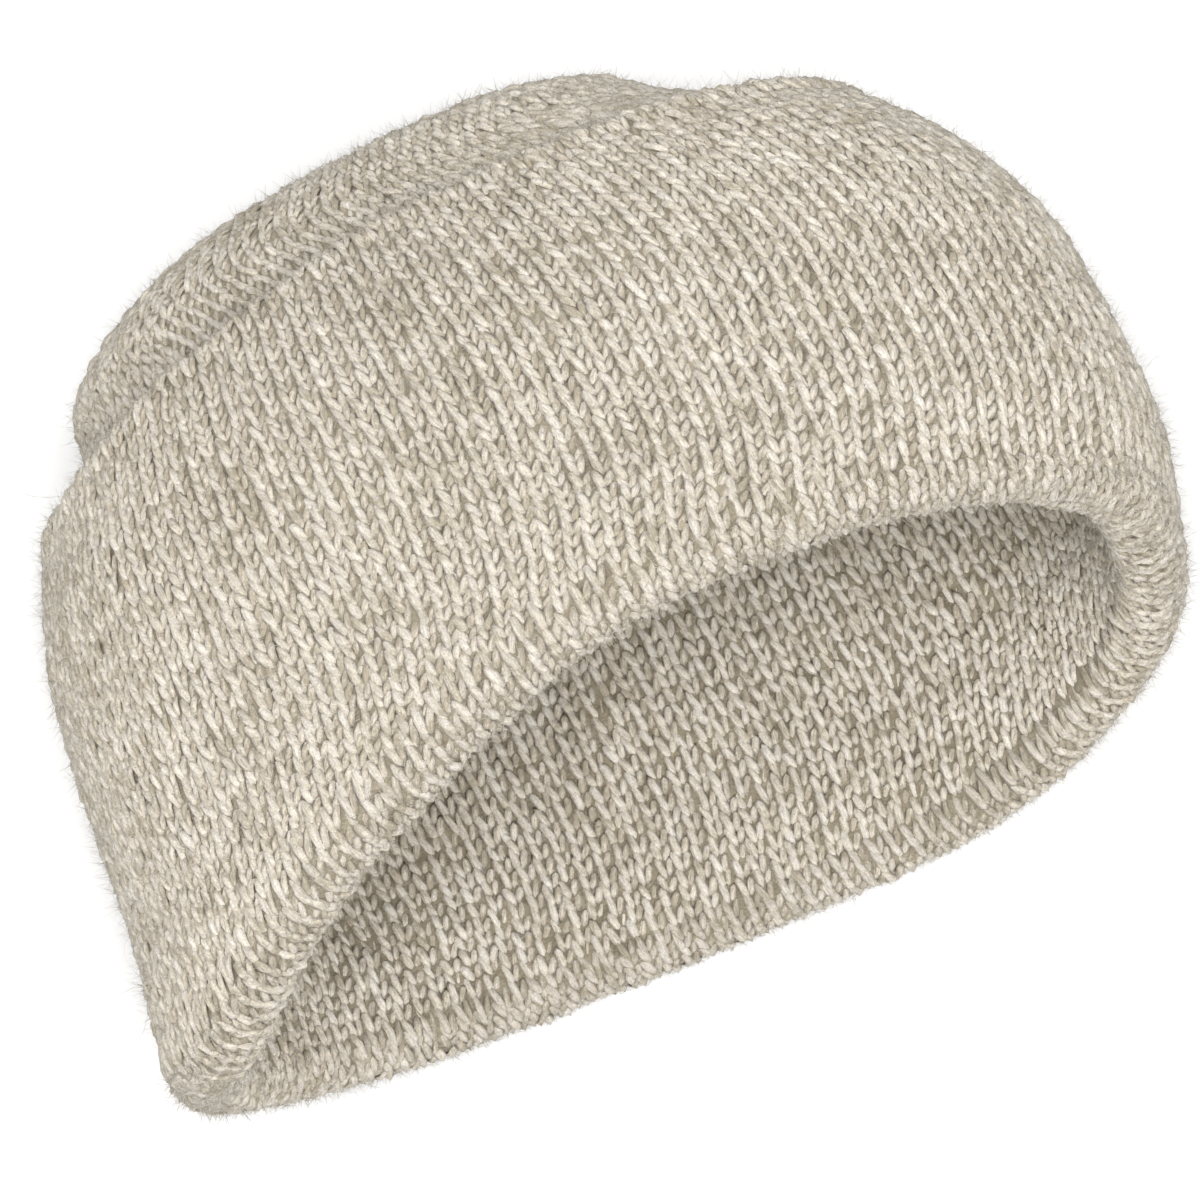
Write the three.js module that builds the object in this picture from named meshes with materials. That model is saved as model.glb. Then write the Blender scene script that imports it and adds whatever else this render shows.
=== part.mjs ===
// A knitted watch cap with a tall turned-up cuff, lying on its side on a flat surface.
// Millimetres, +Z up. The mouth faces -Y, the crown points to +Y, and the width runs along X.
// The origin is on the surface that the cap lies on, under the middle of the cap.
import * as THREE from 'three';

// Overall sizes
const capWidth = 215;          // side to side, over the cuff
const mouthHeight = 134;       // from the surface to the top of the upper wall, at the mouth
const capReach = 157;          // from the wall's lower edge to the tip of the crown, along the axis
const crownDroop = 31;         // how much lower the tip of the crown lies than the middle of the mouth
const wallBow = 9;             // how far the walls bow to the +X side between the mouth and the tip
const rimSetback = 40;         // how far the upper rim lies behind the lower one

// Knitted walls, each of two layers of cloth
const crownThickness = 4.6;
const cuffThickness = 5.2;
const layerGap = 0.4;          // between the crown's wall and the cuff

// Cuff
const cuffHeight = 122;        // from the wall's lower edge to the cuff's top edge, along the wall
const topRoll = 4.5;           // length of the soft edge along the cuff's top
const topSwell = 0.9;          // how far that edge stands proud of the cuff
const rimRoll = 13;            // length of the rolled rim above the wall's lower edge
const rimDrop = 7;             // how far the roll hangs past the wall's lower edge
const rimSwell = 1.2;          // how far the roll stands proud of the cuff outside
const swellReach = 16;         // how far up the cuff that swelling fades
const rimInside = 6.8;         // how far the roll reaches in from the face between the two walls
const turnInside = 14;         // where the turned-under cloth meets the crown's wall inside

// Fineness of the solids
const columns = 64;
const crownRows = 17;
const cuffRows = 12;
const rollRows = 6;
const tipLevel = 2;            // how far from the tip its direction is taken

const wallWidth = capWidth - 2 * cuffThickness - layerGap;
const wallBottom = cuffThickness + layerGap / 2;
const wallTop = mouthHeight - wallBottom;
const axisHeight = (wallBottom + wallTop) / 2;

// The side line of the crown's wall: shares of capReach, of half the width and of wallBow
const sideRows = [
  { reach: 0.00, width: 0.985, bow: 0.00 },
  { reach: 0.14, width: 1.000, bow: 0.50 },
  { reach: 0.28, width: 1.000, bow: 0.65 },
  { reach: 0.42, width: 0.985, bow: 0.70 },
  { reach: 0.55, width: 0.940, bow: 0.55 },
  { reach: 0.67, width: 0.855, bow: 0.35 },
  { reach: 0.78, width: 0.740, bow: 0.10 },
  { reach: 0.87, width: 0.645, bow: -0.55 },
  { reach: 0.94, width: 0.530, bow: -0.30 },
  { reach: 0.985, width: 0.340, bow: -0.10 },
  { reach: 1.00, width: 0.000, bow: -0.10 },
];

// How far the rim lies towards the crown, as shares of rimSetback, every 30 degrees.
// 0 is the top of the upper wall, and 90 is the +X side.
const rimRows = [1.00, 0.98, 0.74, 0.50, 0.20, -0.04, 0.00, 0.11, 0.18, 0.17, 0.18, 0.62];

// Height of the cuff's top edge, as shares of cuffHeight, every 45 degrees
const edgeRows = [1.01, 0.98, 0.95, 0.94, 0.94, 0.95, 0.945, 0.97];

// Soft folds and hollows: the middle and the spread as degrees round and as shares of cuffHeight,
// and the depth as a share of capWidth, inwards when it is below zero
const foldRows = [
  { angle: -8, spread: 26, along: 0.16, length: 0.20, depth: -0.014 },
  { angle: 40, spread: 24, along: 0.55, length: 0.45, depth: 0.010 },
  { angle: -38, spread: 20, along: 0.60, length: 0.40, depth: 0.008 },
  { angle: -66, spread: 15, along: 0.45, length: 0.55, depth: -0.008 },
  { angle: 14, spread: 13, along: 0.95, length: 0.35, depth: -0.010 },
  { angle: 180, spread: 40, along: 1.35, length: 0.35, depth: -0.018 },
];

const sectionPower = { upper: 2.25, lower: 2.5 };  // 2 is an ellipse, and more is squarer
const pressBlend = 5;          // over how much height the pressed side rounds up from the surface

const sideLine = new THREE.CatmullRomCurve3(
  sideRows.map((row) => new THREE.Vector3(
    row.reach * capReach,
    row.width * wallWidth / 2,
    row.bow * wallBow,
  )),
);
const wallLength = sideLine.getLength();

// The value of a closed table at an angle in degrees, on a smooth curve through its rows.
function around(table, degrees) {
  const place = THREE.MathUtils.euclideanModulo(degrees, 360) / 360 * table.length;
  const row = Math.floor(place);
  const at = (step) => table[(row + step + table.length) % table.length];
  const t = place - row;
  const slope0 = (at(1) - at(-1)) / 2;
  const slope1 = (at(2) - at(0)) / 2;
  return at(0) * (2 * t ** 3 - 3 * t ** 2 + 1) + slope0 * (t ** 3 - 2 * t ** 2 + t)
    + at(1) * (3 * t ** 2 - 2 * t ** 3) + slope1 * (t ** 3 - t ** 2);
}

// The larger of two heights, with a rounded change between them.
function softMax(a, b, blend) {
  const overlap = Math.max(blend - Math.abs(a - b), 0);
  return Math.max(a, b) + overlap ** 2 / (4 * blend);
}

// A point of the side line, carried straight on below the wall's lower edge.
function sidePoint(along) {
  if (along >= 0) return sideLine.getPointAt(Math.min(along / wallLength, 1));
  return sideLine.getPointAt(0).addScaledVector(sideLine.getTangentAt(0), along);
}

function foldDepth(degrees, along) {
  return foldRows.reduce((sum, fold) => {
    const turn = THREE.MathUtils.euclideanModulo(degrees - fold.angle + 180, 360) - 180;
    const a = turn / fold.spread;
    const b = (along / cuffHeight - fold.along) / fold.length;
    return sum + fold.depth * capWidth * Math.exp(-(a ** 2 + b ** 2) / 2);
  }, 0);
}

// The face between the crown's wall and the cuff, at an angle round the cap and a length along
// the wall. The side that the cap lies on is pressed flat.
function facePoint(degrees, along) {
  const side = sidePoint(along);
  const angle = THREE.MathUtils.degToRad(degrees);
  const upper = Math.cos(angle) >= 0;
  const power = upper ? sectionPower.upper : sectionPower.lower;
  const square = (Math.abs(Math.cos(angle)) ** power + Math.abs(Math.sin(angle)) ** power) ** (-1 / power);
  const share = side.y / (wallWidth / 2);
  const fade = Math.max(1 - Math.max(side.x, 0) / capReach, 0);
  const rise = upper ? wallTop - axisHeight : axisHeight;
  const radius = square * (share + foldDepth(degrees, along) * Math.min(share * 2, 1) / rise);
  const axis = axisHeight - crownDroop * (1 - fade);
  return new THREE.Vector3(
    radius * wallWidth / 2 * Math.sin(angle) + side.z,
    side.x + around(rimRows, degrees) * rimSetback * fade,
    softMax(axis + radius * rise * Math.cos(angle), wallBottom, pressBlend),
  );
}

function faceNormal(degrees, along) {
  const level = Math.min(along, wallLength - tipLevel);
  const step = 0.5;
  const round = facePoint(degrees + step, level).sub(facePoint(degrees - step, level));
  const up = facePoint(degrees, level + step).sub(facePoint(degrees, level - step));
  return round.cross(up).normalize();
}

// A point that stands off the face, and never below the surface that the cap lies on.
function wallPoint(degrees, along, out) {
  const point = facePoint(degrees, along).addScaledVector(faceNormal(degrees, along), out);
  point.z = Math.max(point.z, 0);
  return point;
}

// A closed body from rows of points round the cap. The rows of a ring close on each other, and
// the rows of a bowl end at a point each.
function closedBody(rows, isBowl) {
  const positions = [];
  const starts = rows.map((row) => {
    const start = positions.length / 3;
    row.forEach((point) => positions.push(point.x, point.y, point.z));
    return start;
  });
  const at = (row, column) => starts[row] + column % rows[row].length;
  const index = [];
  const bands = isBowl ? rows.length - 1 : rows.length;
  for (let row = 0; row < bands; row += 1) {
    const next = (row + 1) % rows.length;
    for (let column = 0; column < columns; column += 1) {
      if (rows[row].length > 1) index.push(at(row, column), at(next, column), at(row, column + 1));
      if (rows[next].length > 1) index.push(at(row, column + 1), at(next, column), at(next, column + 1));
    }
  }
  const geometry = new THREE.BufferGeometry();
  geometry.setAttribute('position', new THREE.Float32BufferAttribute(positions, 3));
  geometry.setIndex(index);
  geometry.computeVertexNormals();
  return geometry;
}

// A row of points round the cap. The length along the wall may change with the angle.
function ringRow(levelAt, outAt) {
  return Array.from({ length: columns }, (_, column) => {
    const degrees = 360 * column / columns;
    const along = levelAt(degrees);
    return wallPoint(degrees, along, outAt(along));
  });
}

const flatRow = (along, out) => ringRow(() => along, () => out);

function tipPoint(out) {
  const normal = new THREE.Vector3();
  for (let column = 0; column < columns; column += 1) {
    normal.add(faceNormal(360 * column / columns, wallLength - tipLevel));
  }
  return facePoint(0, wallLength).addScaledVector(normal.normalize(), out);
}

// The crown: a round bowl whose wall runs down inside the cuff to the turned-under cloth.
function crownGeometry() {
  const outside = -layerGap / 2;
  const inside = outside - crownThickness;
  const bottom = turnInside + layerGap;
  const level = (row) => bottom + (wallLength - bottom) * row / crownRows;
  const rows = [[tipPoint(outside)]];
  for (let row = crownRows - 1; row >= 0; row -= 1) rows.push(flatRow(level(row), outside));
  for (let row = 0; row < crownRows; row += 1) rows.push(flatRow(level(row), inside));
  rows.push([tipPoint(inside)]);
  return closedBody(rows, true);
}

// The cuff: the cloth turned up outside the wall, rolled over at its top edge and at the rim,
// and turned under inside as far as the crown's wall.
function cuffGeometry() {
  const inner = layerGap / 2;
  const outer = inner + cuffThickness;
  const skin = (along) => outer + rimSwell * Math.exp(-(((along - rimRoll) / swellReach) ** 2));
  const edge = (degrees) => around(edgeRows, degrees) * cuffHeight;
  const level = (share, bottom) => (degrees) => bottom + (edge(degrees) - topRoll - bottom) * share;
  const rows = [];

  for (let row = 0; row <= cuffRows; row += 1) {
    rows.push(ringRow(level(1 - row / cuffRows, rimRoll), skin));
  }
  const rollMiddle = (skin(rimRoll) - rimInside) / 2;
  const rollHalf = (skin(rimRoll) + rimInside) / 2;
  for (let row = 1; row < 2 * rollRows; row += 1) {
    const turn = Math.PI * row / (2 * rollRows);
    const along = rimRoll - (rimRoll + rimDrop) * Math.sin(turn);
    rows.push(flatRow(along, rollMiddle + rollHalf * Math.cos(turn)));
  }
  rows.push(flatRow(rimRoll, -rimInside));
  rows.push(flatRow(turnInside, -crownThickness));
  for (let row = 0; row <= cuffRows; row += 1) {
    rows.push(ringRow(level(row / cuffRows, turnInside), () => inner));
  }
  const topMiddle = (outer + topSwell + inner) / 2;
  const topHalf = (outer + topSwell - inner) / 2;
  for (let row = 1; row < rollRows; row += 1) {
    const turn = Math.PI * row / rollRows;
    const along = (degrees) => edge(degrees) - topRoll * (1 - Math.sin(turn));
    rows.push(ringRow(along, () => topMiddle - topHalf * Math.cos(turn)));
  }
  return closedBody(rows, false);
}

function woolMaterial(colour) {
  return new THREE.MeshStandardMaterial({ color: colour, roughness: 0.95, metalness: 0 });
}

function namedMesh(name, geometry, material) {
  const mesh = new THREE.Mesh(geometry, material);
  mesh.name = name;
  return mesh;
}

const cap = new THREE.Group();
cap.add(namedMesh('crown', crownGeometry(), woolMaterial(0xcfc8bb)));
cap.add(namedMesh('cuff', cuffGeometry(), woolMaterial(0xd2cbbd)));

const bounds = new THREE.Box3().setFromObject(cap);
const middle = bounds.getCenter(new THREE.Vector3());
cap.position.set(-middle.x, -middle.y, -bounds.min.z);

export default cap;
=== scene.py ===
"""A knitted wool watch cap with a tall turned-up cuff, lying on its side with its mouth open.

Every stitch is laid on the form of the two CAD walls, one loop of yarn with two legs.
Lengths are in metres, and the frame is the CAD part's own.
"""
import math

import bpy
import numpy as np
from mathutils import Matrix, Vector


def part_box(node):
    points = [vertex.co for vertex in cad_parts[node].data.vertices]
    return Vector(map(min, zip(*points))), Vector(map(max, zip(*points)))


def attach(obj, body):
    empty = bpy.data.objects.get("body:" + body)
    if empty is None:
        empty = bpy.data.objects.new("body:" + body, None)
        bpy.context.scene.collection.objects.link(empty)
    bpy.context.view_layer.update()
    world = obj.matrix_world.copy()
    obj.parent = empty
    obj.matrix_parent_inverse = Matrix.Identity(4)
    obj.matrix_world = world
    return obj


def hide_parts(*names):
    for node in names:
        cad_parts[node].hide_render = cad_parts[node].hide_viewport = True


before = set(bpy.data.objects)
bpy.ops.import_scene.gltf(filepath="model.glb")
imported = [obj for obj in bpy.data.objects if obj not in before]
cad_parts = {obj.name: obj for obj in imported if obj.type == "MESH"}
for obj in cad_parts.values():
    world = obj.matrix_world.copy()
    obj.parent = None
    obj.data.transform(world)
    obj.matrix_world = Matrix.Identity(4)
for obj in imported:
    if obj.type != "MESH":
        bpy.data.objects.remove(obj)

bl_info = {
    "name": "Watch Cap",
    "version": (1, 0, 0),
    "blender": (4, 5, 0),
    "location": "View3D > Sidebar > Watch Cap",
    "description": "Knits the watch cap on the form of its CAD walls and sets up its studio",
    "category": "Object",
}

MM = 0.001

# The form of the walls, in millimetres, as on the CAD part
CAP_WIDTH = 215
MOUTH_HEIGHT = 134
CAP_REACH = 157
CROWN_DROOP = 31
WALL_BOW = 9
RIM_SETBACK = 40
CROWN_THICKNESS = 4.6
CUFF_THICKNESS = 5.2
LAYER_GAP = 0.4
CUFF_HEIGHT = 122
TOP_ROLL = 4.5
TOP_SWELL = 0.9
RIM_ROLL = 13
RIM_DROP = 7
RIM_SWELL = 1.2
SWELL_REACH = 16
RIM_INSIDE = 6.8
TURN_INSIDE = 14

WALL_WIDTH = CAP_WIDTH - 2 * CUFF_THICKNESS - LAYER_GAP
WALL_BOTTOM = CUFF_THICKNESS + LAYER_GAP / 2
WALL_TOP = MOUTH_HEIGHT - WALL_BOTTOM
AXIS_HEIGHT = (WALL_BOTTOM + WALL_TOP) / 2

# The side line of the wall: shares of the reach, of half the width and of the bow
SIDE_ROWS = np.array([
    (0.00, 0.985, 0.00), (0.14, 1.000, 0.50), (0.28, 1.000, 0.65), (0.42, 0.985, 0.70),
    (0.55, 0.940, 0.55), (0.67, 0.855, 0.35), (0.78, 0.740, 0.10), (0.87, 0.645, -0.55),
    (0.94, 0.530, -0.30), (0.985, 0.340, -0.10), (1.00, 0.000, -0.10),
])
RIM_ROWS = np.array([1.00, 0.98, 0.74, 0.50, 0.20, -0.04, 0.00, 0.11, 0.18, 0.17, 0.18, 0.62])
EDGE_ROWS = np.array([1.01, 0.98, 0.95, 0.94, 0.94, 0.95, 0.945, 0.97])
# Soft folds: angle, spread, place and length up the cuff, depth
FOLD_ROWS = np.array([
    (-8, 26, 0.16, 0.20, -0.014), (40, 24, 0.55, 0.45, 0.010), (-38, 20, 0.60, 0.40, 0.008),
    (-66, 15, 0.45, 0.55, -0.008), (14, 13, 0.95, 0.35, -0.010), (180, 40, 1.35, 0.35, -0.018),
])
UPPER_POWER, LOWER_POWER = 2.25, 2.5
PRESS_BLEND = 5

# The knit, in millimetres: how deep the stitches sit in the wall's skin, how far they and the
# plain cloth stay above the surface, how uneven their places are, and where the rim rolls
HEAD_GIRTH = 560
STITCH_SINK = 0.75
STITCH_CLEARANCE = 0.9
CLOTH_CLEARANCE = 0.3
UNEVEN_PLACE = 0.19
RIM_TEMPLATE_RADIUS = 6
RIM_ROWS_START = 3
# Shares: of the cuff's height where crown and darts start, of the edge's mean height, of the
# rows' spacing over the rim, and of the axis height above which a stitch is on the top side
CROWN_START = 0.86
INSIDE_DARTS = 0.3
MEAN_EDGE = 0.96
RIM_ROWS_CLOSER = 1.3
CUFF_TOP_SHARE, CROWN_TOP_SHARE = 0.8, 0.6
# Radians that the cloth rolls over one row, where it counts as the rim
RIM_BEND = 0.12
# Counts
INSIDE_WALES_FEWER = 8
TOP_STEPS, ROLL_STEPS = 13, 32
CLOTH_COLUMNS = 160


# ---- the form of the walls

def side_line():
    """Points of the side line, closely spaced, with the length along it."""
    points = SIDE_ROWS * (CAP_REACH, WALL_WIDTH / 2, WALL_BOW)
    points = np.vstack([2 * points[0] - points[1], points, 2 * points[-1] - points[-2]])
    gaps = np.linalg.norm(np.diff(points, axis=0), axis=1) ** 0.5
    found = []
    t = np.linspace(0, 1, 60, endpoint=False)[:, None]
    for i in range(1, len(points) - 2):
        p0, p1, p2, p3 = points[i - 1:i + 3]
        d0, d1, d2 = gaps[i - 1:i + 2]
        m1 = d1 * ((p1 - p0) / d0 - (p2 - p0) / (d0 + d1) + (p2 - p1) / d1)
        m2 = d1 * ((p2 - p1) / d1 - (p3 - p1) / (d1 + d2) + (p3 - p2) / d2)
        square, cube = -3 * p1 + 3 * p2 - 2 * m1 - m2, 2 * p1 - 2 * p2 + m1 + m2
        found.append(p1 + m1 * t + square * t ** 2 + cube * t ** 3)
    line = np.vstack(found + [points[-2:-1]])
    length = np.concatenate([[0], np.cumsum(np.linalg.norm(np.diff(line, axis=0), axis=1))])
    return length, line


SIDE_LENGTH, SIDE_POINTS = side_line()
WALL_LENGTH = SIDE_LENGTH[-1]


def around(table, degrees):
    """The value of a closed table at an angle, on a smooth curve through its rows."""
    place = np.mod(degrees, 360) / 360 * len(table)
    row = np.floor(place).astype(int)
    t = place - row
    p0, p1, p2, p3 = (table[(row + step) % len(table)] for step in (-1, 0, 1, 2))
    m1, m2 = (p2 - p0) / 2, (p3 - p1) / 2
    return (p1 * (2 * t ** 3 - 3 * t ** 2 + 1) + m1 * (t ** 3 - 2 * t ** 2 + t)
            + p2 * (3 * t ** 2 - 2 * t ** 3) + m2 * (t ** 3 - t ** 2))


def face_point(degrees, along):
    """The face between the crown's wall and the cuff, in millimetres."""
    inside = np.clip(along, 0, WALL_LENGTH)
    reach, width, bow = (np.interp(inside, SIDE_LENGTH, SIDE_POINTS[:, k]) for k in range(3))
    reach = reach + np.minimum(along, 0)
    fold = 0
    for angle, spread, place, length, depth in FOLD_ROWS:
        turn = np.mod(degrees - angle + 180, 360) - 180
        away = (turn / spread) ** 2 + ((along / CUFF_HEIGHT - place) / length) ** 2
        fold = fold + depth * CAP_WIDTH * np.exp(-away / 2)
    sin, cos = np.sin(np.radians(degrees)), np.cos(np.radians(degrees))
    power = np.where(cos >= 0, UPPER_POWER, LOWER_POWER)
    square = (np.abs(cos) ** power + np.abs(sin) ** power) ** (-1 / power)
    share = width / (WALL_WIDTH / 2)
    fade = np.clip(1 - np.maximum(reach, 0) / CAP_REACH, 0, 1)
    rise = np.where(cos >= 0, WALL_TOP - AXIS_HEIGHT, AXIS_HEIGHT)
    radius = square * (share + fold * np.minimum(share * 2, 1) / rise)
    height = AXIS_HEIGHT - CROWN_DROOP * (1 - fade) + radius * rise * cos
    over = np.clip(PRESS_BLEND - np.abs(height - WALL_BOTTOM), 0, None)
    return np.stack([
        radius * WALL_WIDTH / 2 * sin + bow,
        reach + around(RIM_ROWS, degrees) * RIM_SETBACK * fade,
        np.maximum(height, WALL_BOTTOM) + over ** 2 / (4 * PRESS_BLEND),
    ], -1)


def unit(vectors):
    return vectors / np.maximum(np.linalg.norm(vectors, axis=-1, keepdims=True), 1e-12)


def wall_point(degrees, along, out):
    """A point that stands off the face, and never below the surface that the cap lies on."""
    degrees, along, out = np.broadcast_arrays(degrees, along, out)
    level = np.minimum(along, WALL_LENGTH - 2)
    ring = face_point(degrees + 0.5, level) - face_point(degrees - 0.5, level)
    up = face_point(degrees, level + 0.5) - face_point(degrees, level - 0.5)
    point = face_point(degrees, along) + unit(np.cross(ring, up)) * out[..., None]
    point[..., 2] = np.maximum(point[..., 2], 0)
    return point


def cuff_profile(sink):
    """The outside of the cuff from its top edge down and round the rolled rim, as rows of
    (fixed length, share of the cuff's edge height, stand-off). sink shifts it into the cloth."""
    inner, outer = LAYER_GAP / 2, LAYER_GAP / 2 + CUFF_THICKNESS - sink
    middle, half = (outer + TOP_SWELL + inner) / 2, (outer + TOP_SWELL - inner) / 2
    turn = np.linspace(0, math.pi, TOP_STEPS)
    fixed = -(TOP_ROLL - sink) * (1 - np.sin(turn)) - sink
    top = np.stack([fixed, np.ones(TOP_STEPS), middle - half * np.cos(turn)], 1)
    share = np.linspace(1, 0, 40)[1:]
    fixed = RIM_ROLL - (TOP_ROLL + RIM_ROLL) * share
    along = fixed + share * CUFF_HEIGHT
    skin = outer + RIM_SWELL * np.exp(-((along - RIM_ROLL) / SWELL_REACH) ** 2)
    wall = np.stack([fixed, share, skin], 1)
    reach = RIM_INSIDE - sink
    middle, half = (skin[-1] - reach) / 2, (skin[-1] + reach) / 2
    turn = np.linspace(0, math.pi, ROLL_STEPS)
    fixed = sink - RIM_DROP + half * (1 - np.sin(turn))
    roll = np.stack([fixed, np.zeros(ROLL_STEPS), middle + half * np.cos(turn)], 1)
    return np.vstack([top, wall, roll])


def crown_profile(bottom, sink):
    """The outside of the crown from a length along the wall up to the tip."""
    along = np.linspace(bottom, WALL_LENGTH, 60)
    return np.stack([along, np.zeros(60), np.full(60, -LAYER_GAP / 2 - sink)], 1)


def inside_profile(bottom, sink):
    """The inside of the cap up to the tip. It swells to meet the rolled rim."""
    along = np.linspace(bottom, WALL_LENGTH, 90)
    wall = LAYER_GAP / 2 + CROWN_THICKNESS
    swell = (RIM_INSIDE - wall) * np.exp(-((along - RIM_ROLL) / (SWELL_REACH * 0.7)) ** 2)
    return np.stack([along, np.zeros(90), sink - wall - swell], 1)


def knit_profiles(sink):
    """The cloth's two faces as one sees them: the cuff from the rim's lowest line up to its top
    edge, and the inside from the same line up to the tip."""
    cuff, inside = cuff_profile(sink), inside_profile(RIM_ROLL, sink)
    lowest = len(cuff) - ROLL_STEPS // 2
    return cuff[lowest::-1], np.vstack([cuff[lowest:], inside[1:]])


def profile_point(profile, degrees):
    edge = around(EDGE_ROWS, degrees) * CUFF_HEIGHT
    return wall_point(degrees, profile[..., 0] + profile[..., 1] * edge, profile[..., 2])


def shift():
    """From the face's own coordinates to the row frame, taken from the CAD cuff's box."""
    ring = np.linspace(0, 360, 360, endpoint=False)
    points = profile_point(cuff_profile(0)[:, None], ring[None]) * MM
    low, high = points.reshape(-1, 3).min(0), points.reshape(-1, 3).max(0)
    box_low, box_high = (np.array(corner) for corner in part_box("cuff"))
    moved = (box_low + box_high - low - high) / 2
    moved[2] = box_low[2] - low[2]
    return moved


SHIFT = shift()


# ---- meshes

def mesh_object(name, points, faces):
    mesh = bpy.data.meshes.new(name)
    mesh.from_pydata(np.asarray(points).tolist(), [], faces)
    mesh.validate()
    mesh.update()
    mesh.polygons.foreach_set("use_smooth", [True] * len(mesh.polygons))
    piece = bpy.data.objects.new(name, mesh)
    bpy.context.scene.collection.objects.link(piece)
    return piece


def ring_faces(rows, columns, closed):
    """Quads between rows of points round the cap. closed joins the last row to the first."""
    faces = []
    for row in range(rows if closed else rows - 1):
        here, after = row * columns, (row + 1) % rows * columns
        for column in range(columns):
            beside = (column + 1) % columns
            faces.append((here + column, after + column, after + beside, here + beside))
    return faces


def finish_piece(piece, node):
    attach(piece, "root")
    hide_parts(node)


# ---- materials

class Nodes:
    """Short ways to build a node tree."""

    def __init__(self, tree):
        self.tree = tree

    def add(self, kind, at=(0, 0), **settings):
        node = self.tree.nodes.new(kind)
        node.location = at
        for name, value in settings.items():
            if name in node.bl_rna.properties:
                setattr(node, name, value)
            else:
                raise ValueError(f"{kind} has no setting {name}")
        return node

    def put(self, node, **values):
        for name, value in values.items():
            socket = node.inputs[name.replace("_", " ")]
            if isinstance(value, bpy.types.NodeSocket):
                self.tree.links.new(value, socket)
            else:
                socket.default_value = value
        return node

    def math(self, operation, a, b=0.0, at=(0, 0)):
        node = self.add("ShaderNodeMath", at, operation=operation)
        for socket, value in zip(node.inputs, (a, b)):
            if isinstance(value, bpy.types.NodeSocket):
                self.tree.links.new(value, socket)
            else:
                socket.default_value = value
        return node.outputs[0]

    def mix(self, factor, a, b, at=(0, 0), blend="MIX"):
        node = self.add("ShaderNodeMix", at, data_type="RGBA", blend_type=blend)
        for socket, value in ((node.inputs[0], factor), (node.inputs[6], a), (node.inputs[7], b)):
            if isinstance(value, bpy.types.NodeSocket):
                self.tree.links.new(value, socket)
            else:
                socket.default_value = value
        return node.outputs[2]

    def span(self, value, low, high, at=(0, 0)):
        node = self.add("ShaderNodeMapRange", at, interpolation_type="SMOOTHSTEP")
        self.put(node, Value=value, From_Min=low, From_Max=high)
        return node.outputs[0]


def sockets(tree, inputs, outputs):
    for side, rows in (("INPUT", inputs), ("OUTPUT", outputs)):
        for name, kind, default in rows:
            socket = tree.interface.new_socket(name, in_out=side, socket_type=kind)
            if default is not None:
                socket.default_value = default


def heather_group():
    """Wool of several shades carded together: its colour, and the relief of its fibres."""
    tree = bpy.data.node_groups.new("Heather Wool", "ShaderNodeTree")
    sockets(tree, [
        ("Coordinates", "NodeSocketVector", None), ("Strand", "NodeSocketVector", None),
        ("Tint", "NodeSocketFloat", 0.5), ("Shade", "NodeSocketFloat", 0.0),
        ("Light", "NodeSocketColor", (1, 1, 1, 1)),
        ("Middle", "NodeSocketColor", (0.6, 0.6, 0.6, 1)), ("Dark", "NodeSocketColor", (0.3, 0.3, 0.3, 1)),
    ], [("Color", "NodeSocketColor", None), ("Normal", "NodeSocketVector", None)])
    n = Nodes(tree)
    given = n.add("NodeGroupInput", (-1300, 0)).outputs
    lift = n.math("MULTIPLY", given["Tint"], 90.0, (-1100, -100))

    def strands(along, round_it, detail, height):
        """Noise in the yarn's own directions, different on every stitch."""
        drawn = n.add("ShaderNodeVectorMath", (-900, height), operation="MULTIPLY")
        n.put(drawn, Vector=given["Strand"])
        drawn.inputs[1].default_value = (along, round_it, 1.0)
        return n.put(n.add("ShaderNodeTexNoise", (-700, height), noise_dimensions="4D"),
                     Vector=drawn.outputs[0], W=lift, Scale=1.0, Detail=detail, Roughness=0.65).outputs[0]

    def cloth(scale, detail, height):
        return n.put(n.add("ShaderNodeTexNoise", (-700, height), noise_dimensions="3D"),
                     Vector=given["Coordinates"], Scale=scale, Detail=detail, Roughness=0.7).outputs[0]

    leg_shade, fibres = strands(0.9, 0.9, 1.0, 500), strands(3.0, 14.0, 4.0, 250)
    patches, broad, fine = cloth(420.0, 4.0, 0), cloth(70.0, 2.0, -250), cloth(2600.0, 2.0, -500)
    # Shade moves the mix towards the dark wool; the yarn uses it for the short leg's painted shade
    shade = n.math("ADD", n.math("MULTIPLY", leg_shade, 0.30, (-450, 500)), given["Shade"], (-250, 500))
    for value, weight, height in ((fibres, 0.30, 250), (patches, 0.28, 0), (broad, 0.12, -250)):
        shade = n.math("ADD", shade, n.math("MULTIPLY", value, weight, (-450, height)), (-250, height))
    colour = n.mix(n.span(shade, 0.41, 0.50, (0, 300)), given["Dark"], given["Middle"], (200, 300))
    colour = n.mix(n.span(shade, 0.49, 0.585, (0, 0)), colour, given["Light"], (400, 200))
    grain = n.math("ADD", n.math("MULTIPLY", strands(2.2, 9.0, 5.0, 750), 0.6, (-450, 750)),
                   n.math("MULTIPLY", fine, 0.4, (-450, 900)), (-250, 800))
    grain = n.math("MULTIPLY", n.span(grain, 0.40, 0.60, (0, 800)), 0.42, (200, 800))
    grey = n.math("ADD", grain, 0.77, (350, 800))
    colour = n.mix(1.0, colour, grey, (500, 400), "MULTIPLY")
    relief = n.math("ADD", n.math("MULTIPLY", fibres, 0.6, (-250, -500)),
                    n.math("MULTIPLY", fine, 0.55, (-250, -700)), (0, -500))
    bump = n.put(n.add("ShaderNodeBump", (200, -300)), Strength=1.0, Distance=0.0009, Height=relief)
    out = n.add("NodeGroupOutput", (650, 0))
    tree.links.new(colour, out.inputs["Color"])
    tree.links.new(bump.outputs[0], out.inputs["Normal"])
    return tree


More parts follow.
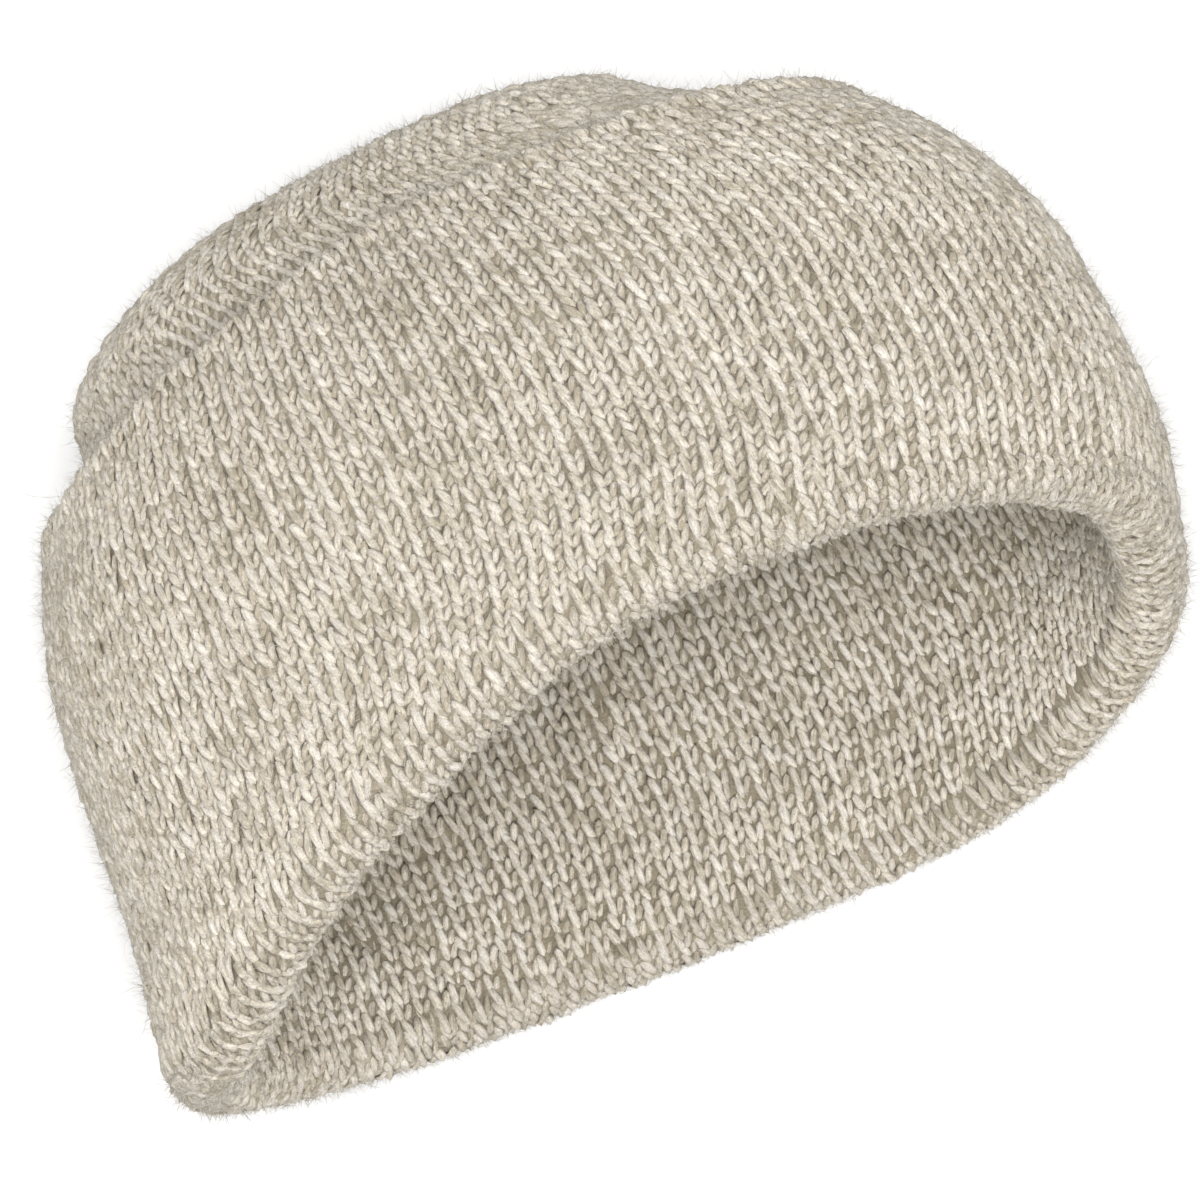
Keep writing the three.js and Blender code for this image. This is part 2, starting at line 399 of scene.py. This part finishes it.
def wool(name, group, light, middle, dark, strand):
    """strand is the name of the UV map that runs along the yarn, or none for cloth deep in the gaps.
    The short leg of a stitch starts at 7 on that map, and its wool is painted a little darker, as painted
    shade on the leg that lies lower."""
    material = bpy.data.materials.new(name)
    material.use_nodes = True
    n = Nodes(material.node_tree)
    shader = material.node_tree.nodes["Principled BSDF"]
    place = n.add("ShaderNodeTexCoord", (-900, 0)).outputs["Object"]
    heather = n.add("ShaderNodeGroup", (-400, 0))
    heather.node_tree = group
    n.put(heather, Coordinates=place, Light=light, Middle=middle, Dark=dark)
    if strand:
        yarn = n.add("ShaderNodeUVMap", (-900, 250), uv_map=strand).outputs[0]
        run = n.put(n.add("ShaderNodeSeparateXYZ", (-750, 400)), Vector=yarn).outputs[0]
        # Painted shade: the short leg's wool is mixed a little darker so that it reads as lying in shadow
        short = n.math("MULTIPLY", n.math("GREATER_THAN", run, 5.0, (-600, 400)), -0.035, (-500, 400))
        n.put(heather, Strand=yarn, Shade=short,
              Tint=n.add("ShaderNodeAttribute", (-900, -250), attribute_name="tint").outputs["Fac"])
    else:
        grown = n.add("ShaderNodeVectorMath", (-650, 200), operation="SCALE")
        n.put(grown, Vector=place, Scale=300.0)
        n.put(heather, Strand=grown.outputs[0], Tint=0.5)
    n.put(shader, Base_Color=heather.outputs["Color"], Normal=heather.outputs["Normal"], Roughness=0.93)
    shader.inputs["Specular IOR Level"].default_value = 0.2
    shader.inputs["Sheen Weight"].default_value = 0.25
    shader.inputs["Sheen Roughness"].default_value = 0.6
    return material


def colour(red, green, blue):
    """A colour as seen on a screen, from 0 to 255, as the shader wants it."""
    return tuple(((c / 255 + 0.055) / 1.055) ** 2.4 for c in (red, green, blue)) + (1.0,)


# ---- stitches

FINE_LEG = ((0.0, 0.0, -0.9), (0.17, 0.88, 0.2), (0.50, 1.0, 0.8), (0.84, 0.86, 0.2), (1.0, 0.0, -0.9))
PLAIN_LEG = ((0.0, 0.0, -0.9), (0.30, 0.95, 0.6), (0.72, 0.95, 0.6), (1.0, 0.0, -0.9))


def leg(start, end, width, depth, arch, rows, first):
    """One leg of a stitch as a closed tapered tube with pointed ends. rows are (place along the
    leg, thickness, lift), and its UV map starts at first, so that no two legs look alike."""
    sides = 4
    start, end = Vector(start), Vector(end)
    along = (end - start).normalized()
    across = along.cross(Vector((0, 0, 1))).normalized()
    points, faces, uvs = [], [], []
    for share, girth, lift in rows:
        centre = start.lerp(end, share) + Vector((0, 0, arch * lift))
        if girth == 0:
            points.append(centre)
            uvs.append((first + share, 0.5))
            continue
        for side in range(sides):
            turn = 2 * math.pi * side / sides
            rise = Vector((0, 0, depth * girth * math.sin(turn)))
            points.append(centre + across * (width * girth * math.cos(turn)) + rise)
            uvs.append((first + share, side / sides))
    rings = len(rows) - 2
    last = len(points) - 1
    for side in range(sides):
        beside = (side + 1) % sides
        faces.append((0, 1 + beside, 1 + side))
        for ring in range(rings - 1):
            a, b = 1 + ring * sides, 1 + (ring + 1) * sides
            faces.append((a + side, a + beside, b + beside, b + side))
        top = 1 + (rings - 1) * sides
        faces.append((top + side, top + beside, last))
    return points, faces, uvs


def stitch_template(name, pitch, row, rows, radius=None):
    """The two legs of one stitch, in its own plane: X across the wale, Y up it, Z out. The left
    leg is long and runs on into the next, and the right one is short, as the yarn's twist has it."""
    points, faces, uvs = [], [], []
    for start, end, width, depth, first in (
        ((0.01 * pitch, -1.02 * row, 0), (-0.36 * pitch, 1.02 * row, 0), 0.26 * pitch, 0.24 * pitch, 0.0),
        ((0.12 * pitch, -0.86 * row, 0), (0.49 * pitch, 0.66 * row, 0), 0.22 * pitch, 0.17 * pitch, 7.0),
    ):
        made, joined, mapped = leg(start, end, width, depth, 0.0005, rows, first)
        faces += [tuple(len(points) + i for i in face) for face in joined]
        points += made
        uvs += mapped
    return strand_object(name, bent(points, radius) if radius else points, faces, uvs)


def bent(points, radius):
    """The points of a flat stitch, wrapped over a roll of that radius."""
    found = []
    for point in points:
        turn, far = point.y / radius, radius + point.z
        found.append(Vector((point.x, far * math.sin(turn), far * math.cos(turn) - radius)))
    return found


def strand_object(name, points, faces, uvs):
    piece = mesh_object(name, [tuple(p) for p in points], faces)
    layer = piece.data.uv_layers.new(name="strand")
    for loop in piece.data.loops:
        layer.data[loop.index].uv = uvs[loop.vertex_index]
    return piece


def fibre_template(name, length, width, rows):
    """One loose fibre: a thin three-sided spike. rows are its (lean, curl, rise) as shares of
    the length."""
    points, faces, uvs = [], [], []
    for index, (lean, curl, rise) in enumerate(rows[:-1]):
        girth = width * (1 - 0.5 * index / len(rows))
        for side in range(3):
            turn = 2 * math.pi * side / 3
            x, y = length * lean + girth * math.cos(turn), length * curl + girth * math.sin(turn)
            points.append((x, y, length * rise))
            uvs.append((0.2 * index, 0.3))
    points.append(tuple(length * share for share in rows[-1]))
    uvs.append((1.0, 0.3))
    faces.append((0, 2, 1))
    for row in range(len(rows) - 2):
        for side in range(3):
            a, b, beside = row * 3, row * 3 + 3, (side + 1) % 3
            faces.append((a + side, a + beside, b + beside, b + side))
    top = 3 * (len(rows) - 2)
    faces += [(top + side, top + (side + 1) % 3, len(points) - 1) for side in range(3)]
    return strand_object(name, points, faces, uvs)


def repeat_tree():
    """Sets one template on each point, turned to the point's own axes and a little uneven."""
    tree = bpy.data.node_groups.new("Repeat On Cloth", "GeometryNodeTree")
    sockets(tree, [
        ("Geometry", "NodeSocketGeometry", None), ("Template", "NodeSocketObject", None),
        ("Turn", "NodeSocketFloat", 0.05), ("Uneven", "NodeSocketFloat", 0.06),
        ("Seed", "NodeSocketInt", 1), ("Material", "NodeSocketMaterial", None),
    ], [("Geometry", "NodeSocketGeometry", None)])
    n = Nodes(tree)
    given = n.add("NodeGroupInput", (-1000, 0)).outputs

    def named(name, at):
        node = n.add("GeometryNodeInputNamedAttribute", at, data_type="FLOAT_VECTOR")
        node.inputs["Name"].default_value = name
        return node.outputs[0]

    axes = n.add("FunctionNodeAxesToRotation", (-500, 200), primary_axis="Z", secondary_axis="Y")
    tree.links.new(named("out", (-800, 300)), axes.inputs[0])
    tree.links.new(named("up", (-800, 100)), axes.inputs[1])
    shape = n.add("GeometryNodeObjectInfo", (-500, -100), transform_space="ORIGINAL")
    n.put(shape, Object=given["Template"])
    shape.inputs["As Instance"].default_value = True
    placed = n.add("GeometryNodeInstanceOnPoints", (-200, 100))
    n.put(placed, Points=given["Geometry"], Instance=shape.outputs["Geometry"],
          Rotation=axes.outputs[0], Scale=named("size", (-500, -300)))

    def uneven(amount, middle, seed_step, at):
        node = n.add("FunctionNodeRandomValue", at, data_type="FLOAT_VECTOR")
        low = n.math("SUBTRACT", middle, amount, (at[0] - 200, at[1]))
        high = n.math("ADD", middle, amount, (at[0] - 200, at[1] - 150))
        tree.links.new(low, node.inputs[0])
        tree.links.new(high, node.inputs[1])
        step = n.math("ADD", given["Seed"], seed_step, (at[0] - 200, at[1] - 300))
        tree.links.new(step, node.inputs["Seed"])
        return node.outputs[0]

    turned = n.add("GeometryNodeRotateInstances", (50, 100))
    n.put(turned, Instances=placed.outputs[0], Rotation=uneven(given["Turn"], 0.0, 1, (-150, -300)))
    sized = n.add("GeometryNodeScaleInstances", (250, 100))
    n.put(sized, Instances=turned.outputs[0], Scale=uneven(given["Uneven"], 1.0, 2, (100, -500)))
    real = n.put(n.add("GeometryNodeRealizeInstances", (450, 100)), Geometry=sized.outputs[0])
    dressed = n.add("GeometryNodeSetMaterial", (650, 100))
    n.put(dressed, Geometry=real.outputs[0], Material=given["Material"])
    tree.links.new(dressed.outputs[0], n.add("NodeGroupOutput", (850, 100)).inputs[0])
    return tree


def repeat(tree, name, rows, template, material, turn, uneven, seed):
    """Makes a piece from rows of points and their axes, and leaves it as a plain mesh."""
    piece = mesh_object(name, rows["point"], [])
    for key in ("out", "up", "size"):
        layer = piece.data.attributes.new(key, "FLOAT_VECTOR", "POINT")
        layer.data.foreach_set("vector", rows[key].astype(np.float32).ravel())
    layer = piece.data.attributes.new("tint", "FLOAT", "POINT")
    layer.data.foreach_set("value", rows["tint"].astype(np.float32))
    modifier = piece.modifiers.new("repeat", "NODES")
    modifier.node_group = tree
    wanted = {"Template": template, "Turn": turn, "Uneven": uneven, "Seed": seed, "Material": material}
    for item in tree.interface.items_tree:
        if item.in_out == "INPUT" and item.name in wanted:
            modifier[item.identifier] = wanted[item.name]
    piece.update_tag()
    depsgraph = bpy.context.evaluated_depsgraph_get()
    made = bpy.data.meshes.new_from_object(
        piece.evaluated_get(depsgraph), preserve_all_data_layers=True, depsgraph=depsgraph)
    points = piece.data
    piece.modifiers.clear()
    piece.data = made
    made.name = name
    made.materials.clear()
    made.materials.append(material)
    made.polygons.foreach_set("material_index", [0] * len(made.polygons))
    bpy.data.meshes.remove(points)
    for key in ("out", "up", "size"):
        if key in made.attributes:
            made.attributes.remove(made.attributes[key])
    return piece


def even_rows(profile, pitch):
    """Places along a profile one row apart, as rows of the profile's own numbers. The rows lie
    closer over the rim."""
    nominal = np.stack([profile[:, 0] + profile[:, 1] * MEAN_EDGE * CUFF_HEIGHT, profile[:, 2]], 1)
    closer = np.where(nominal[1:, 0] < RIM_ROWS_START, RIM_ROWS_CLOSER, 1)
    length = np.concatenate([[0], np.cumsum(np.linalg.norm(np.diff(nominal, axis=0), axis=1) * closer)])
    places = np.arange(pitch / 2, length[-1], pitch)

    def at(where):
        return np.stack([np.interp(where, length, profile[:, k]) for k in range(3)], -1)

    return at(places), at(np.maximum(places - pitch / 2, 0)), at(np.minimum(places + pitch / 2, length[-1]))


def knit_rows(profile, wales, pitch, row_pitch, seed, inward=False, darts=0):
    """Where each stitch goes on a profile swept round the cap. Below darts, a row has every wale,
    and past it the wales run out in four darts as the cloth narrows. bend is how far the cloth
    rolls away over one row."""
    random = np.random.default_rng(seed)
    rows, before, after = even_rows(profile, row_pitch)
    ring = np.linspace(0, 360, 721)
    found = {key: [] for key in ("point", "out", "up", "size", "tint", "bend")}
    full = None
    for row, low, high in zip(rows, before, after):
        loop = profile_point(row[None], ring)
        length = np.concatenate([[0], np.cumsum(np.linalg.norm(np.diff(loop, axis=0), axis=1))])
        girth = length[-1]
        if darts and row[0] > darts:
            full = full or girth
            quarter = full / 4
            steps = np.arange(wales) / wales * full
            sector = np.round(steps / quarter)
            within = steps - sector * quarter
            keep = np.abs(within) <= girth / 8
            places = (sector[keep] * girth / 4 + within[keep]) % girth
            width = full / wales
        else:
            places = (np.arange(wales) + 0.5 * (wales % 2)) / wales * girth
            width = girth / wales
        if len(places) < 3:
            continue
        degrees = np.interp(places, length, ring)
        here = profile_point(row[None], degrees)
        under, over = profile_point(low[None], degrees), profile_point(high[None], degrees)
        up = over - under
        across = profile_point(row[None], degrees + 0.4) - profile_point(row[None], degrees - 0.4)
        out = unit(np.cross(across, up)) * (-1 if inward else 1)
        moved = here + random.normal(scale=UNEVEN_PLACE, size=here.shape)
        if not inward:
            moved[:, 2] = np.maximum(moved[:, 2], STITCH_CLEARANCE)
        found["point"].append(moved)
        found["up"].append(unit(up))
        found["out"].append(out)
        tall = np.clip(np.linalg.norm(up, axis=1) / row_pitch, 0.65, 1.35)
        found["size"].append(np.stack([np.full(len(here), width / pitch), tall, np.ones(len(here))], 1))
        found["tint"].append(random.random(len(here)))
        found["bend"].append(((unit(here - under) - unit(over - here)) * out).sum(1))
    return {key: np.concatenate(value) for key, value in found.items()}


def fibre_rows(profile, count, side, rise, length, random):
    """Where each loose fibre starts on a profile swept round the cap, and which way it leans.
    Those that would reach below the surface that the cap lies on are left out."""
    where = random.random(count) * (len(profile) - 1.001)
    row = np.floor(where).astype(int)
    part = (where - row)[:, None]
    at = profile[row] * (1 - part) + profile[row + 1] * part
    ahead = (profile[row + 1] - profile[row]) * 0.2
    degrees = random.random(count) * 360
    here = profile_point(at, degrees)
    across = profile_point(at, degrees + 0.4) - profile_point(at, degrees - 0.4)
    up = profile_point(at + ahead, degrees) - profile_point(at - ahead, degrees)
    out = unit(np.cross(across, up)) * side
    lean = unit(random.normal(size=(count, 3)))
    size = 0.5 + 1.1 * random.random((count, 1)) ** 2
    toward = unit(out * rise + lean * 0.9)
    rows = {
        "point": here + out * random.uniform(-0.1, 0.6, (count, 1)), "out": toward,
        "up": unit(random.normal(size=(count, 3))),
        "size": np.repeat(size, 3, axis=1), "tint": random.random(count),
    }
    return chosen(rows, here[:, 2] > (1.1 - toward[:, 2]) * size[:, 0] * length)


def chosen(rows, keep):
    return {key: value[keep] for key, value in rows.items()}


def placed(rows):
    """The same rows, with their points in metres in the row frame."""
    return rows | {"point": rows["point"] * MM + SHIFT}


# ---- settings

def length_property(name, description, default):
    return bpy.props.FloatProperty(
        name=name, description=description, default=default, unit="LENGTH", subtype="DISTANCE")


def wool_property(name, description, *shade):
    return bpy.props.FloatVectorProperty(
        name=name, description=description, default=colour(*shade), size=4, min=0, max=1, subtype="COLOR")


class WatchCapSettings(bpy.types.PropertyGroup):
    wale_pitch: length_property("Wale", "Width of one column of stitches", 0.00385)
    row_pitch: length_property("Row", "Height of one row of stitches", 0.00315)
    cloth_depth: length_property("Depth", "How far the plain cloth lies below the stitches", 0.0006)
    fibre_length: length_property("Fibre Length", "Length of a loose fibre", 0.0027)
    fibre_width: length_property("Fibre Width", "Half the thickness of a loose fibre", 0.000042)
    light_wool: wool_property("Light Wool", "Lightest wool of the mix", 227, 220, 208)
    middle_wool: wool_property("Middle Wool", "Main wool of the mix", 213, 204, 188)
    dark_wool: wool_property("Dark Wool", "Darkest wool of the mix", 177, 166, 144)
    fibres: bpy.props.IntProperty(name="Fibres", description="Loose fibres on the whole cap", default=74000)
    seed: bpy.props.IntProperty(name="Seed", description="Start of every random choice", default=7)


def wales(settings):
    """The number of columns of stitches round the cap."""
    return round(HEAD_GIRTH / (settings.wale_pitch / MM))


def material(name):
    """The wool materials, made once."""
    if name in bpy.data.materials:
        return bpy.data.materials[name]
    group = bpy.data.node_groups.get("Heather Wool") or heather_group()
    settings = bpy.context.scene.watch_cap
    shades = {
        "yarn": (settings.light_wool, settings.middle_wool, settings.dark_wool, "strand"),
        # The inside's yarn is painted lighter than the outer yarn: painted light, standing in for light
        # reaching into the mouth
        "inner yarn with painted light": (colour(241, 235, 224), colour(229, 220, 204), colour(190, 179, 157), "strand"),
        "loose fibre": (colour(246, 241, 232), colour(214, 205, 189), colour(128, 117, 93), "strand"),
        # The cloth in the gaps between stitches is painted darker than the yarn: painted shade in the gaps
        "deep cloth in painted shade": (colour(168, 157, 134), colour(150, 139, 116), colour(122, 112, 90), None),
    }
    light, middle, dark, strand = shades[name]
    return wool(name, group, light, middle, dark, strand)


# ---- operators

class WATCHCAP_OT_walls(bpy.types.Operator):
    """Build the plain cloth under the stitches"""
    bl_idname = "watchcap.walls"
    bl_label = "Plain Cloth"

    def execute(self, context):
        sink = context.scene.watch_cap.cloth_depth / MM
        columns = CLOTH_COLUMNS
        ring = np.linspace(0, 360, columns, endpoint=False)
        share = np.linspace(0, 1, 24, endpoint=False)
        fixed = TURN_INSIDE - (TURN_INSIDE + TOP_ROLL) * share
        back = np.stack([fixed, share, np.full(len(share), LAYER_GAP / 2)], 1)
        bottom = RIM_ROLL - 4
        inside = [(bottom, 0, sink - RIM_INSIDE), (TURN_INSIDE, 0, sink - CROWN_THICKNESS)]
        profile = np.vstack([cuff_profile(sink), inside, back])
        points = profile_point(profile[:, None], ring[None]).reshape(-1, 3)
        points[:, 2] = np.maximum(points[:, 2], CLOTH_CLEARANCE)
        cuff = mesh_object("cuff_cloth", points * MM + SHIFT, ring_faces(len(profile), columns, True))
        profile = np.vstack([crown_profile(bottom, sink)[-2::-1], inside_profile(bottom, sink)[:-1]])
        points = profile_point(profile[:, None], ring[None]).reshape(-1, 3)
        rows = len(profile)
        faces = ring_faces(rows, columns, False)
        tips = []
        for row in (0, rows - 1):
            tips.append(points[row * columns:(row + 1) * columns].mean(0))
        first, last = len(points), len(points) + 1
        for column in range(columns):
            beside = (column + 1) % columns
            faces.append((first, column, beside))
            faces.append((last, (rows - 1) * columns + beside, (rows - 1) * columns + column))
        crown = mesh_object("crown_cloth", np.vstack([points, tips]) * MM + SHIFT, faces)
        for piece, node in ((cuff, "cuff"), (crown, "crown")):
            # The plain cloth is painted darker than the yarn, as painted shade in the gaps between the
            # stitches
            piece.data.materials.append(material("deep cloth in painted shade"))
            finish_piece(piece, node)
        return {"FINISHED"}


class WATCHCAP_OT_stitches(bpy.types.Operator):
    """Knit every stitch of the cuff, the rolled rim, the crown and the inside"""
    bl_idname = "watchcap.stitches"
    bl_label = "Stitches"

    def execute(self, context):
        settings = context.scene.watch_cap
        pitch, row = settings.wale_pitch / MM, settings.row_pitch / MM
        count = wales(settings)
        tree = bpy.data.node_groups.get("Repeat On Cloth") or repeat_tree()
        fine = stitch_template("stitch_fine", pitch * MM, row * MM, FINE_LEG)
        simple = stitch_template("stitch_plain", pitch * MM, row * MM, PLAIN_LEG)
        curved = stitch_template("stitch_rim", pitch * MM, row * MM, FINE_LEG, RIM_TEMPLATE_RADIUS * MM)
        outer, inner = knit_profiles(STITCH_SINK)
        bottom = CUFF_HEIGHT * CROWN_START
        fewer = count - INSIDE_WALES_FEWER
        cuff = knit_rows(outer, count, pitch, row, settings.seed)
        crown = knit_rows(crown_profile(bottom, STITCH_SINK), fewer, pitch, row, settings.seed + 1,
                          darts=bottom)
        inside = knit_rows(inner, fewer, pitch, row, settings.seed + 2,
                           inward=True, darts=CUFF_HEIGHT * INSIDE_DARTS)
        top = cuff["point"][:, 2] > AXIS_HEIGHT * CUFF_TOP_SHARE
        crown_top = crown["point"][:, 2] > AXIS_HEIGHT * CROWN_TOP_SHARE
        right = inside["point"][:, 0] > 0
        rolled, rolled_in = cuff["bend"] > RIM_BEND, inside["bend"] > RIM_BEND
        for name, rows, shape, node in (
            ("cuff_stitches_top", chosen(cuff, top & ~rolled), fine, "cuff"),
            ("cuff_stitches_under", chosen(cuff, ~top & ~rolled), simple, "cuff"),
            ("rim_stitches_outside", chosen(cuff, rolled), curved, "cuff"),
            ("rim_stitches_inside", chosen(inside, rolled_in), curved, "cuff"),
            ("crown_stitches_top", chosen(crown, crown_top), fine, "crown"),
            ("crown_stitches_under", chosen(crown, ~crown_top), simple, "crown"),
            ("inside_stitches_right", chosen(inside, right & ~rolled_in), simple, "crown"),
            ("inside_stitches_left", chosen(inside, ~right & ~rolled_in), simple, "crown"),
        ):
            # The inside's stitches take the lighter inner yarn, its painted light
            yarn = material("inner yarn with painted light" if name.startswith("inside") else "yarn")
            piece = repeat(tree, name, placed(rows), shape, yarn, 0.14, 0.13, settings.seed)
            finish_piece(piece, node)
        for template in (simple, fine, curved):
            bpy.data.objects.remove(template)
        return {"FINISHED"}


class WATCHCAP_OT_fibres(bpy.types.Operator):
    """Raise loose fibres from the wool"""
    bl_idname = "watchcap.fibres"
    bl_label = "Loose Fibres"

    def execute(self, context):
        settings = context.scene.watch_cap
        random = np.random.default_rng(settings.seed + 20)
        tree = bpy.data.node_groups.get("Repeat On Cloth") or repeat_tree()
        outer, inner = knit_profiles(0)
        crown = crown_profile(CUFF_HEIGHT * 0.9, 0)
        length = settings.fibre_length
        nap = fibre_template("nap", length, settings.fibre_width, ((0, 0, 0), (0.25, 0.05, 0.95)))
        hair = fibre_template("hair", length * 3.5, settings.fibre_width * 0.8,
                              ((0, 0, 0), (0.05, 0, 0.2), (0.16, 0.02, 0.38), (0.30, 0.07, 0.5),
                               (0.46, 0.14, 0.57), (0.62, 0.20, 0.58), (0.76, 0.24, 0.54)))
        for name, profile, template, share, node, side, rise, reach in (
            ("cuff_nap", outer, nap, 0.56, "cuff", 1, 0.35, 1),
            ("crown_nap", crown, nap, 0.18, "crown", 1, 0.35, 1),
            ("inside_nap", inner, nap, 0.26, "crown", -1, 0.35, 1),
            ("cuff_hairs", outer, hair, 0.0025, "cuff", 1, 0.25, 4),
        ):
            count = int(settings.fibres * share)
            rows = fibre_rows(profile, count, side, rise, reach * length / MM, random)
            wool_fibre = material("loose fibre")
            piece = repeat(tree, name, placed(rows), template, wool_fibre, 0.3, 0.1, settings.seed)
            finish_piece(piece, node)
        for template in (nap, hair):
            bpy.data.objects.remove(template)
        return {"FINISHED"}


class WATCHCAP_OT_stage(bpy.types.Operator):
    """Set up the floor, the lights and the camera"""
    bl_idname = "watchcap.stage"
    bl_label = "Stage"

    def execute(self, context):
        scene = context.scene
        bpy.ops.mesh.primitive_plane_add(size=8)
        floor = context.object
        floor.name = "floor"
        paper = bpy.data.materials.new("paper")
        paper.use_nodes = True
        shader = paper.node_tree.nodes["Principled BSDF"]
        shader.inputs["Base Color"].default_value = (0.9, 0.9, 0.9, 1)
        shader.inputs["Roughness"].default_value = 0.9
        floor.data.materials.append(paper)
        world = bpy.data.worlds.new("studio")
        world.use_nodes = True
        world.node_tree.nodes["Background"].inputs["Color"].default_value = (1, 1, 1, 1)
        world.node_tree.nodes["Background"].inputs["Strength"].default_value = 0.58
        scene.world = world
        # name, place, size, power in watts, and the point that it is turned to
        for name, place, size, power, target in (
            ("key", (-0.45, 0.45, 1.50), 1.0, 5, (0, 0, 0.05)),
            ("front", (0.05, -0.42, 1.55), 0.9, 26, (0, -0.05, 0.05)),
        ):
            light = bpy.data.lights.new(name, "AREA")
            light.shape = "DISK"
            light.size = size
            light.energy = power
            lamp = bpy.data.objects.new(name, light)
            scene.collection.objects.link(lamp)
            lamp.location = place
            lamp.rotation_euler = (Vector(place) - Vector(target)).to_track_quat("Z", "Y").to_euler()
        # The camera looks down at 77 degrees, turned about its own axis as in the photo
        tilt, roll, distance, view_width = math.radians(77), math.radians(26.3), 1.3, 0.2264
        back = Vector((0, -math.cos(tilt), math.sin(tilt)))
        right = Vector((1, 0, 0))
        up = back.cross(right)
        camera = bpy.data.objects.new("camera", bpy.data.cameras.new("camera"))
        scene.collection.objects.link(camera)
        side = right * math.cos(roll) - up * math.sin(roll)
        head = right * math.sin(roll) + up * math.cos(roll)
        turned = Matrix((side, head, back)).transposed().to_4x4()
        camera.matrix_world = Matrix.Translation(Vector((0, 0, 0.06)) + back * distance) @ turned
        camera.data.sensor_width = 36
        camera.data.lens = camera.data.sensor_width * distance / view_width
        camera.data.shift_x = 0.0408
        camera.data.shift_y = -0.0733
        scene.camera = camera
        scene.view_settings.view_transform = "Standard"
        return {"FINISHED"}


class WATCHCAP_PT_panel(bpy.types.Panel):
    """The cap's settings and its steps, in order"""
    bl_label = "Watch Cap"
    bl_idname = "WATCHCAP_PT_panel"
    bl_space_type = "VIEW_3D"
    bl_region_type = "UI"
    bl_category = "Watch Cap"

    def draw(self, context):
        settings = context.scene.watch_cap
        for name in settings.__annotations__:
            self.layout.prop(settings, name)
        for step in STEPS:
            self.layout.operator(step.bl_idname)


STEPS = (WATCHCAP_OT_walls, WATCHCAP_OT_stitches, WATCHCAP_OT_fibres, WATCHCAP_OT_stage)
CLASSES = (WatchCapSettings, *STEPS, WATCHCAP_PT_panel)


def register():
    for item in CLASSES:
        bpy.utils.register_class(item)
    bpy.types.Scene.watch_cap = bpy.props.PointerProperty(type=WatchCapSettings)


def unregister():
    del bpy.types.Scene.watch_cap
    for item in reversed(CLASSES):
        bpy.utils.unregister_class(item)


def main():
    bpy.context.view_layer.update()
    register()
    bpy.ops.watchcap.walls()
    bpy.ops.watchcap.stitches()
    bpy.ops.watchcap.fibres()
    bpy.ops.watchcap.stage()


if __name__ == "__main__":
    main()
